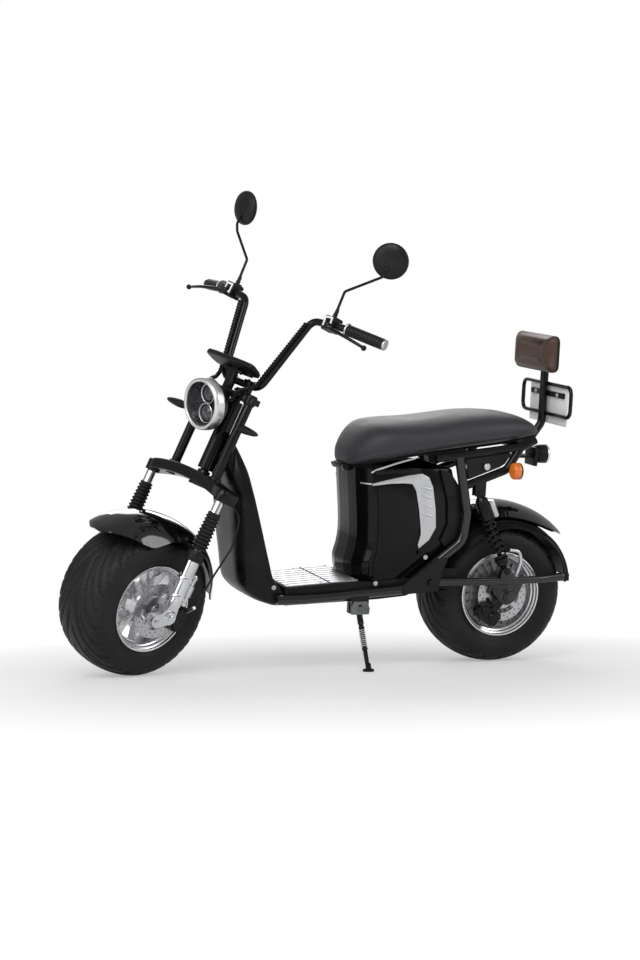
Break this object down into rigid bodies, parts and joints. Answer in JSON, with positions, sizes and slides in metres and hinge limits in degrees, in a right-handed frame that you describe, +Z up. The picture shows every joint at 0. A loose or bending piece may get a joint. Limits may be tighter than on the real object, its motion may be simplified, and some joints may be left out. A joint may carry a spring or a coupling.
{
  "type": "electric scooter",
  "caption": "Electric scooter with wide tyres, a long fork, a flat floor, a seat for two and a padded backrest, parked on its side stand.",
  "frame": {"origin": "centre of the parked scooter's outline, on the floor that its tyres and stand rest on", "axes": "+X forward along its length, +Y to the rider's left, towards the stand it leans on, +Z up"},
  "size_m": [1.605, 0.7365, 1.4084],
  "materials": {
    "frame_black": "satin black paint",
    "gloss_black": "gloss black",
    "matte_black": "fine grained black plastic",
    "silver_trim": "satin silver",
    "deck_metal": "ribbed plate",
    "rim_metal": "machined and polished",
    "fork_chrome": "polished",
    "disc_steel": "ground",
    "tyre": "matt rubber",
    "rubber": "soft black",
    "seat_cover": "dark grey synthetic leather",
    "backrest_cover": "brown synthetic leather",
    "amber": "translucent amber",
    "plate_white": "blank white",
    "lamp_glass": "clear",
    "lamp_body": "dark lens",
    "battery_case": "plain case"
  },
  "bodies": {
    "frame": {"frame": "frame_black", "leg_shield": "gloss_black", "floor_tray": "matte_black", "floor_board": "deck_metal", "body_front": "gloss_black", "body_back": "matte_black", "side_panels": "gloss_black", "side_trims": "silver_trim", "battery": "battery_case", "tail_panels": "matte_black", "swingarm": "frame_black", "rear_shocks": "frame_black", "rear_springs": "frame_black", "rear_brake": "frame_black", "rear_fender": "gloss_black", "wheel_hugger": "matte_black", "tail_lamp": "lamp_body", "rear_indicators": "amber", "rack": "frame_black", "backrest": "backrest_cover", "backrest_shell": "matte_black", "number_plate": "plate_white"},
    "seat": {"seat_pan": "matte_black", "seat_cushion": "seat_cover"},
    "side_stand": {"side_stand": "frame_black"},
    "steering": {"yokes": "frame_black", "fork_tubes": "fork_chrome", "fork_bellows": "rubber", "fork_legs": "fork_chrome", "front_fender": "gloss_black", "front_brake": "frame_black", "headlamp": "frame_black", "headlamp_glass": "lamp_glass", "front_indicators": "frame_black", "dash": "matte_black", "handlebar": "frame_black", "grips": "rubber", "controls": "matte_black", "mirrors": "matte_black", "cables": "rubber"},
    "front_wheel": {"front_tyre": "tyre", "front_rim": "rim_metal", "front_disc": "disc_steel"},
    "rear_wheel": {"rear_tyre": "tyre", "rear_rim": "rim_metal", "rear_disc": "disc_steel"}
  },
  "joints": [
    {"name": "steering_turn", "type": "hinge", "parent": "frame", "child": "steering", "pos_m": [0.54183, -0.08966, 0.20339], "axis": [-0.3945, 0.1122, 0.912], "range_deg": [-46, 0]},
    {"name": "front_wheel_spin", "type": "hinge", "parent": "steering", "child": "front_wheel", "pos_m": [0.58413, -0.06808, 0.21903], "axis": [-0.3586, 0.895, -0.2652], "continuous": true},
    {"name": "rear_wheel_spin", "type": "hinge", "parent": "frame", "child": "rear_wheel", "pos_m": [-0.55222, -0.08728, 0.21829], "axis": [0.0005, 0.9925, -0.1219], "continuous": true},
    {"name": "side_stand_fold", "type": "hinge", "parent": "frame", "child": "side_stand", "pos_m": [-0.06707, 0.04936, 0.18436], "axis": [-0.0009, 0.974, 0.2265], "range_deg": [0, 88]},
    {"name": "seat_tilt", "type": "hinge", "parent": "frame", "child": "seat", "pos_m": [-0.04179, -0.04024, 0.60351], "axis": [0.0005, 0.9925, -0.1219], "range_deg": [0, 75]}
  ]
}
